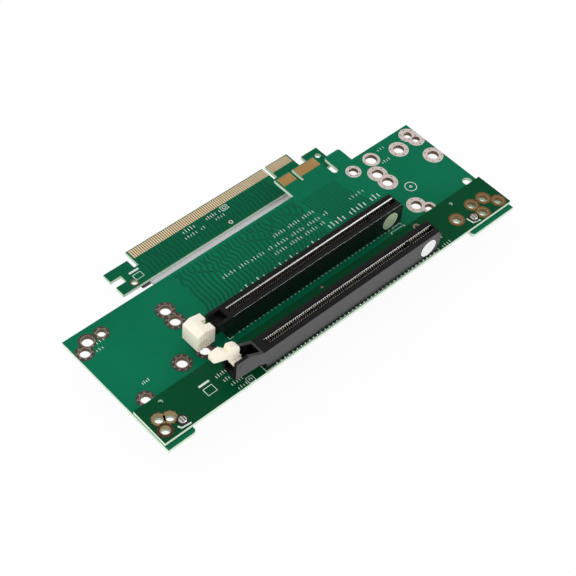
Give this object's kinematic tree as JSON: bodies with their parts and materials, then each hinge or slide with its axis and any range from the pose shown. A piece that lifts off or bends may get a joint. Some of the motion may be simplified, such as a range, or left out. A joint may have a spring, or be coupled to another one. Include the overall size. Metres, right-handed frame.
{
  "type": "pcie riser card",
  "caption": "Riser card with parallel card sockets and latches, a strip board over its front edge, a short card-edge tab and a long card edge on a flat cable.",
  "frame": {"origin": "centre of the datum fixing hole near the main board's back left corner, at the board's top face", "axes": "+X along the sockets towards pin 1, +Y towards the card edges, +Z out of the boards on the sockets' side"},
  "size_m": [0.1783, 0.087, 0.0411],
  "materials": {
    "board_green": "glossy solder mask",
    "board_dark_green": "glossy solder mask",
    "socket_black": "moulded, satin",
    "latch_ivory": "moulded, satin",
    "contact_metal": "plated",
    "finger_gold": "gold plated",
    "ribbon_grey": "extruded",
    "bar_black": "moulded",
    "post_tin": "tinned",
    "eyelet_gold": "gilded",
    "label_paper": "paper"
  },
  "bodies": {
    "card": {"main_board": "board_green", "strip_board": "board_dark_green", "edge_card": "board_dark_green", "rear_socket": "socket_black", "front_socket": "socket_black", "rear_contacts_front": "contact_metal", "rear_contacts_back": "contact_metal", "front_contacts_front": "contact_metal", "front_contacts_back": "contact_metal", "tab_fingers_top": "finger_gold", "tab_fingers_bottom": "finger_gold", "card_fingers_top": "finger_gold", "card_fingers_bottom": "finger_gold", "ribbon_cable": "ribbon_grey", "main_clamp_bar": "bar_black", "card_clamp_bar": "bar_black", "strip_post_left": "post_tin", "strip_post_right": "post_tin", "eyelets_left": "eyelet_gold", "eyelets_right": "eyelet_gold", "rear_label": "label_paper", "front_label": "label_paper"},
    "rear_latch_body": {"rear_latch": "latch_ivory"},
    "front_latch_body": {"front_latch": "latch_ivory"}
  },
  "joints": [
    {"name": "rear_latch_hinge", "type": "hinge", "parent": "card", "child": "rear_latch_body", "pos_m": [0.0302, -0.028, 0.0065], "axis": [0, -1, 0], "range_deg": [0, 55]},
    {"name": "front_latch_hinge", "type": "hinge", "parent": "card", "child": "front_latch_body", "pos_m": [0.0284, -0.0483, 0.0141], "axis": [0, -1, 0], "range_deg": [0, 30]}
  ]
}
